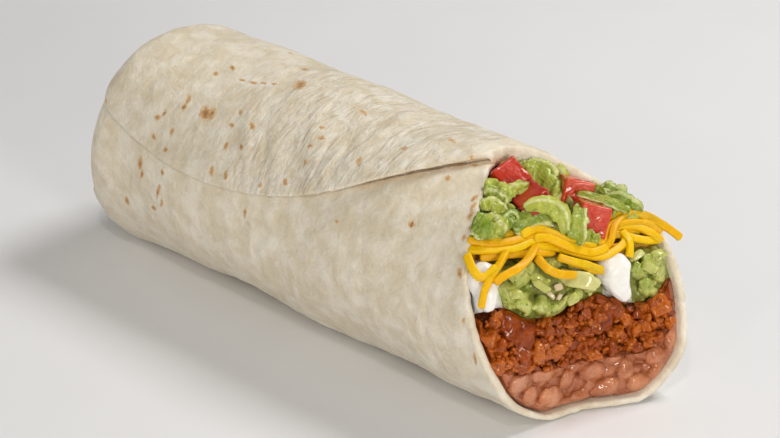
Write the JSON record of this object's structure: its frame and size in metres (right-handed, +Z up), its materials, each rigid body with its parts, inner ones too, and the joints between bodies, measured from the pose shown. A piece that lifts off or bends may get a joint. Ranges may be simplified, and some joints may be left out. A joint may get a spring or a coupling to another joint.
{
  "type": "burrito",
  "caption": "Filled flour tortilla roll, one end folded shut and the other open on layers of beans, seasoned crumbles, guacamole, sour cream, cheese, lettuce and tomato.",
  "frame": {"origin": "under the middle of the roll, on the surface it rests on", "axes": "+X along the roll from the folded end to the open end, +Z up"},
  "size_m": [0.1846, 0.0684, 0.0653],
  "materials": {
    "tortilla": "soft matt baked dough with toast spots",
    "refried_beans": "moist mash",
    "seasoned_crumbles": "moist crumbles with red sauce",
    "sour_cream": "smooth and moist",
    "guacamole": "moist, chunky",
    "shredded_cheese": "satin",
    "shredded_lettuce": "satin leaf",
    "diced_tomato": "wet cut faces"
  },
  "bodies": {
    "root": {"tortilla": "tortilla", "refried_beans": "refried_beans", "seasoned_crumbles": "seasoned_crumbles", "sour_cream_side": "sour_cream", "guacamole_middle": "guacamole", "sour_cream_middle": "sour_cream", "guacamole_far": "guacamole", "shredded_cheese": "shredded_cheese", "shredded_lettuce": "shredded_lettuce", "diced_tomato_1": "diced_tomato", "diced_tomato_2": "diced_tomato", "diced_tomato_3": "diced_tomato", "diced_tomato_4": "diced_tomato"}
  },
  "joints": []
}
